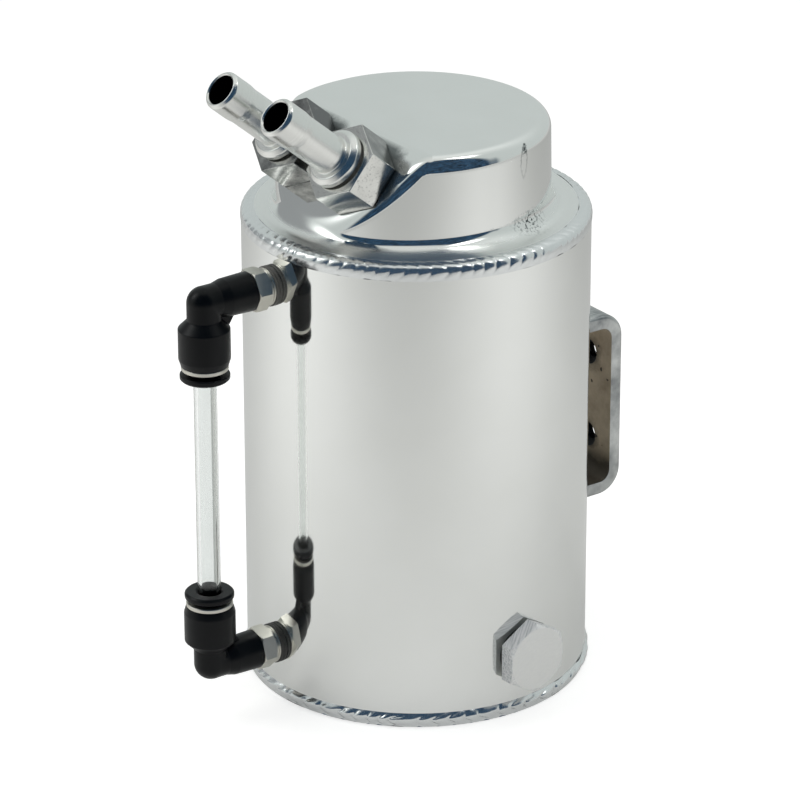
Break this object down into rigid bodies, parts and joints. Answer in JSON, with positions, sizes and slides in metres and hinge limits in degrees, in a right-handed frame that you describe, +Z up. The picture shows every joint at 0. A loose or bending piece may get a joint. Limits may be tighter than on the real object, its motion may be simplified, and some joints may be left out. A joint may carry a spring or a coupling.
{
  "type": "oil catch can",
  "caption": "Polished round oil catch can with angled hose tails, a clear sight tube between push-in elbows, a hexagon drain plug and a strap bracket.",
  "frame": {"origin": "centre of the base's underside, on the can's axis", "axes": "+Z up along the can's axis, -Y towards the hose tails and the sight tube, +Y towards the bracket"},
  "size_m": [0.0966, 0.1324, 0.1694],
  "materials": {
    "polished_aluminium": "mirror polished",
    "weld_aluminium": "rippled weld bead",
    "plain_aluminium": "milled, dull",
    "turned_aluminium": "turned, satin",
    "plug_aluminium": "bright machined",
    "strap_aluminium": "brushed, stained inside",
    "nickel_brass": "nickel plated",
    "spring_steel": "bright strip",
    "black_nylon": "satin moulded",
    "seal_rubber": "matt",
    "clear_tube": "clear"
  },
  "bodies": {
    "can": {"can_tube": "polished_aluminium", "base_plate": "polished_aluminium", "base_weld": "weld_aluminium", "head": "polished_aluminium", "top_weld": "weld_aluminium", "bracket": "strap_aluminium", "bracket_weld_upper": "weld_aluminium", "bracket_weld_lower": "weld_aluminium", "sight_tube": "clear_tube", "drain_boss": "plain_aluminium", "hose_bung_left": "plain_aluminium", "hose_seal_left": "seal_rubber", "hose_tail_left": "turned_aluminium", "hose_bung_right": "plain_aluminium", "hose_seal_right": "seal_rubber", "hose_tail_right": "turned_aluminium", "sight_boss_upper": "plain_aluminium", "stud_seal_upper": "seal_rubber", "sight_stud_upper": "nickel_brass", "elbow_upper": "black_nylon", "tube_seal_upper": "seal_rubber", "grip_ring_upper": "spring_steel", "guide_ring_upper": "nickel_brass", "sight_boss_lower": "plain_aluminium", "stud_seal_lower": "seal_rubber", "sight_stud_lower": "nickel_brass", "elbow_lower": "black_nylon", "tube_seal_lower": "seal_rubber", "grip_ring_lower": "spring_steel", "guide_ring_lower": "nickel_brass"},
    "drain_seal": {"drain_seal": "seal_rubber"},
    "drain_plug": {"drain_plug": "plug_aluminium"},
    "release_collar_upper": {"release_collar_upper": "black_nylon"},
    "release_collar_lower": {"release_collar_lower": "black_nylon"}
  },
  "joints": [
    {"name": "drain_travel", "type": "slide", "parent": "can", "child": "drain_seal", "axis": [0.9984, 0.0558, 0], "range_m": [0, 0.0046]},
    {"name": "drain_turn", "type": "hinge", "parent": "drain_seal", "child": "drain_plug", "pos_m": [0.04493, 0.00251, 0.017], "axis": [0.9984, 0.0558, 0], "range_deg": [0, 1080]},
    {"name": "release_upper", "type": "slide", "parent": "can", "child": "release_collar_upper", "axis": [0, 0, 1], "range_m": [0, 0.001], "stiffness_N_per_m": 200},
    {"name": "release_lower", "type": "slide", "parent": "can", "child": "release_collar_lower", "axis": [0, 0, -1], "range_m": [0, 0.001], "stiffness_N_per_m": 200}
  ],
  "couplings": [
    {"joint": "drain_travel", "follows": "drain_turn", "m_per_rad": 0.00023873}
  ]
}
